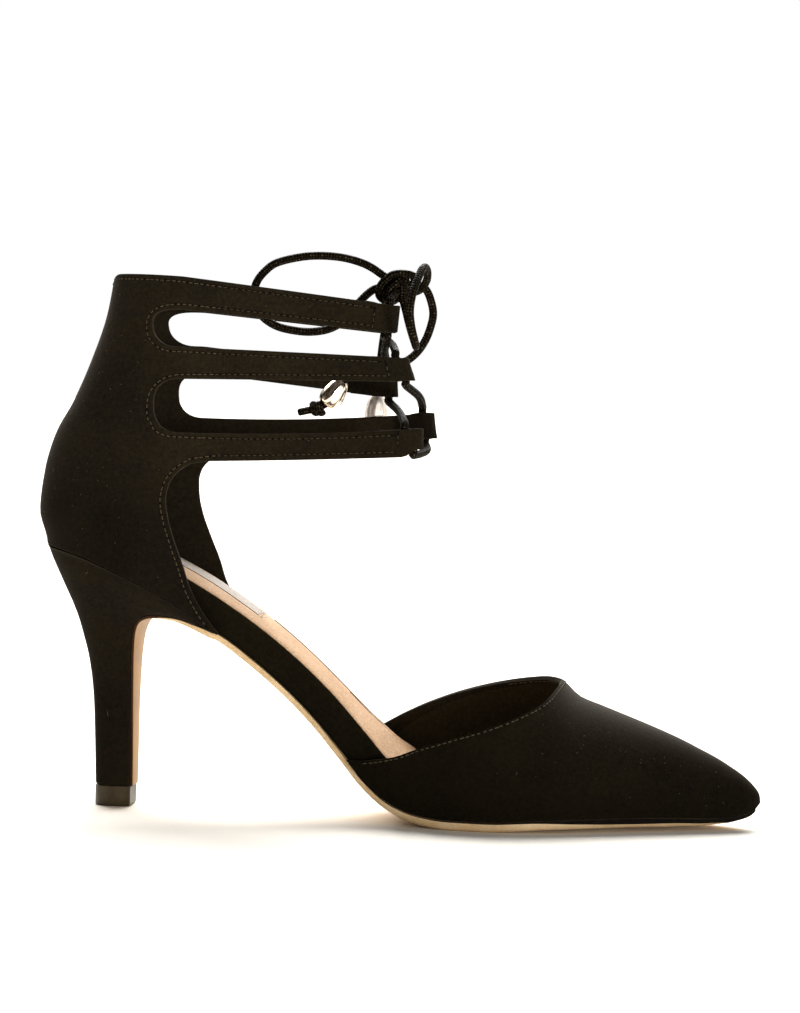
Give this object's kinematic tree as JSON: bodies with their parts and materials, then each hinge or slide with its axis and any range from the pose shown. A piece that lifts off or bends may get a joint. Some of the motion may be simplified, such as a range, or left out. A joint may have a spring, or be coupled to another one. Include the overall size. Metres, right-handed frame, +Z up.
{
  "type": "lace-up pump shoe",
  "caption": "Pointed two-piece suede pump with a slim covered heel and a slotted ankle cuff whose strap ends lace together at the front with a beaded cord bow.",
  "frame": {"origin": "floor level under the middle of the shoe's length and width", "axes": "+X from heel to toe, +Y to the inner (medial) side of the foot, +Z up from the floor"},
  "size_m": [0.2361, 0.0723, 0.1815],
  "materials": {
    "black_suede": "matte microfibre suede",
    "tan_sole": "smooth resin sole in tan",
    "tan_sock": "soft matte lining",
    "lift_plastic": "satin moulded",
    "waxed_cord": "waxed round cord",
    "bead_metal": "polished pale gold"
  },
  "bodies": {
    "root": {"vamp": "black_suede", "quarter": "black_suede", "heel": "black_suede", "insole_board": "black_suede", "outsole": "tan_sole", "sock_lining": "tan_sock", "heel_top_lift": "lift_plastic", "lace_bar_bottom": "waxed_cord", "lace_cross_lower_near": "waxed_cord", "lace_cross_lower_far": "waxed_cord", "lace_cross_upper_near": "waxed_cord", "lace_cross_upper_far": "waxed_cord", "lace_rise_near": "waxed_cord", "lace_rise_far": "waxed_cord", "lace_knot": "waxed_cord", "lace_loop_back": "waxed_cord", "lace_loop_front": "waxed_cord", "lace_end_near": "waxed_cord", "lace_end_far": "waxed_cord", "lace_end_knot_near": "waxed_cord", "lace_end_knot_far": "waxed_cord", "lace_bead_near": "bead_metal", "lace_bead_far": "bead_metal"}
  },
  "joints": []
}
